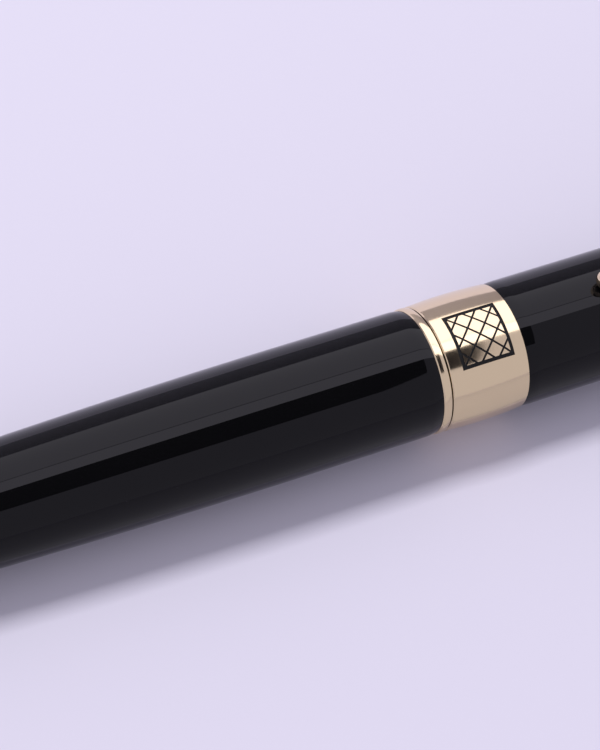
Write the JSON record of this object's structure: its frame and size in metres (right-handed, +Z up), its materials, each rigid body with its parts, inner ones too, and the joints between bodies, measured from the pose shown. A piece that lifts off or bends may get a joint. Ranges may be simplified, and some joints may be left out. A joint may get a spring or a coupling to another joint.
{
  "type": "rollerball pen",
  "caption": "Capped rollerball pen: lacquered cigar-shaped barrel and cap, gold band at the seam, sprung clip with a ball end, screw-in grip section and refill.",
  "frame": {"origin": "under the middle of the closed pen, on the surface it lies on", "axes": "+X along the pen towards the top of the cap, +Z up through the clip, +Y across"},
  "size_m": [0.1396, 0.013, 0.0154],
  "materials": {
    "black_lacquer": "deep black high-gloss lacquer",
    "pale_gold": "polished pale champagne-gold plating",
    "black_enamel": "black enamel in an engraving",
    "black_resin": "satin black resin",
    "raw_brass": "turned brass",
    "steel": "bright steel",
    "refill_plastic": "off-white plastic",
    "ink_blue": "dark blue plastic plug",
    "fibre": "ink-soaked fibre",
    "nickel_silver": "polished nickel silver"
  },
  "bodies": {
    "barrel": {"barrel_tube": "black_lacquer", "barrel_trim_ring": "pale_gold", "thread_bush": "raw_brass", "tail_ring": "pale_gold", "tail_finial": "black_lacquer", "tail_screw": "steel", "refill_spring": "steel"},
    "refill": {"refill_tube": "refill_plastic", "refill_end_plug": "ink_blue", "ink_reservoir": "fibre", "feed_wick": "fibre", "refill_nose": "ink_blue", "refill_point": "nickel_silver", "writing_ball": "steel"},
    "section": {"section_coupler": "raw_brass", "grip_section": "black_resin", "section_front_ring": "pale_gold", "nose_cone": "pale_gold"},
    "snap": {"snap_ring": "steel"},
    "cap": {"cap_band": "pale_gold", "band_inlay": "black_enamel", "cap_tube": "black_lacquer", "inner_cap": "black_resin", "cap_end_plug": "raw_brass", "clip_ring": "pale_gold", "cap_finial": "black_lacquer", "finial_screw": "steel"},
    "clip": {"clip_arm": "pale_gold"}
  },
  "joints": [
    {"name": "section_advance", "type": "slide", "parent": "barrel", "child": "refill", "axis": [1, 0, 0], "range_m": [0, 0.005], "deforming": ["refill_spring"]},
    {"name": "section_unscrew", "type": "hinge", "parent": "refill", "child": "section", "pos_m": [0.0028, 0, 0.00646], "axis": [1, 0, 0], "range_deg": [0, 1801]},
    {"name": "cap_turn", "type": "hinge", "parent": "section", "child": "snap", "pos_m": [0.0058, 0, 0.00646], "axis": [1, 0, 0], "continuous": true},
    {"name": "cap_pull", "type": "slide", "parent": "snap", "child": "cap", "axis": [1, 0, 0], "range_m": [0, 0.058]},
    {"name": "clip_flex", "type": "hinge", "parent": "cap", "child": "clip", "pos_m": [0.06272, 0, 0.01526], "axis": [0, 1, 0], "range_deg": [0, 4], "stiffness_Nm_per_rad": 0.05, "springref_deg": -2.86}
  ],
  "couplings": [
    {"joint": "section_unscrew", "follows": "section_advance", "rad_per_m": 6283.2}
  ]
}
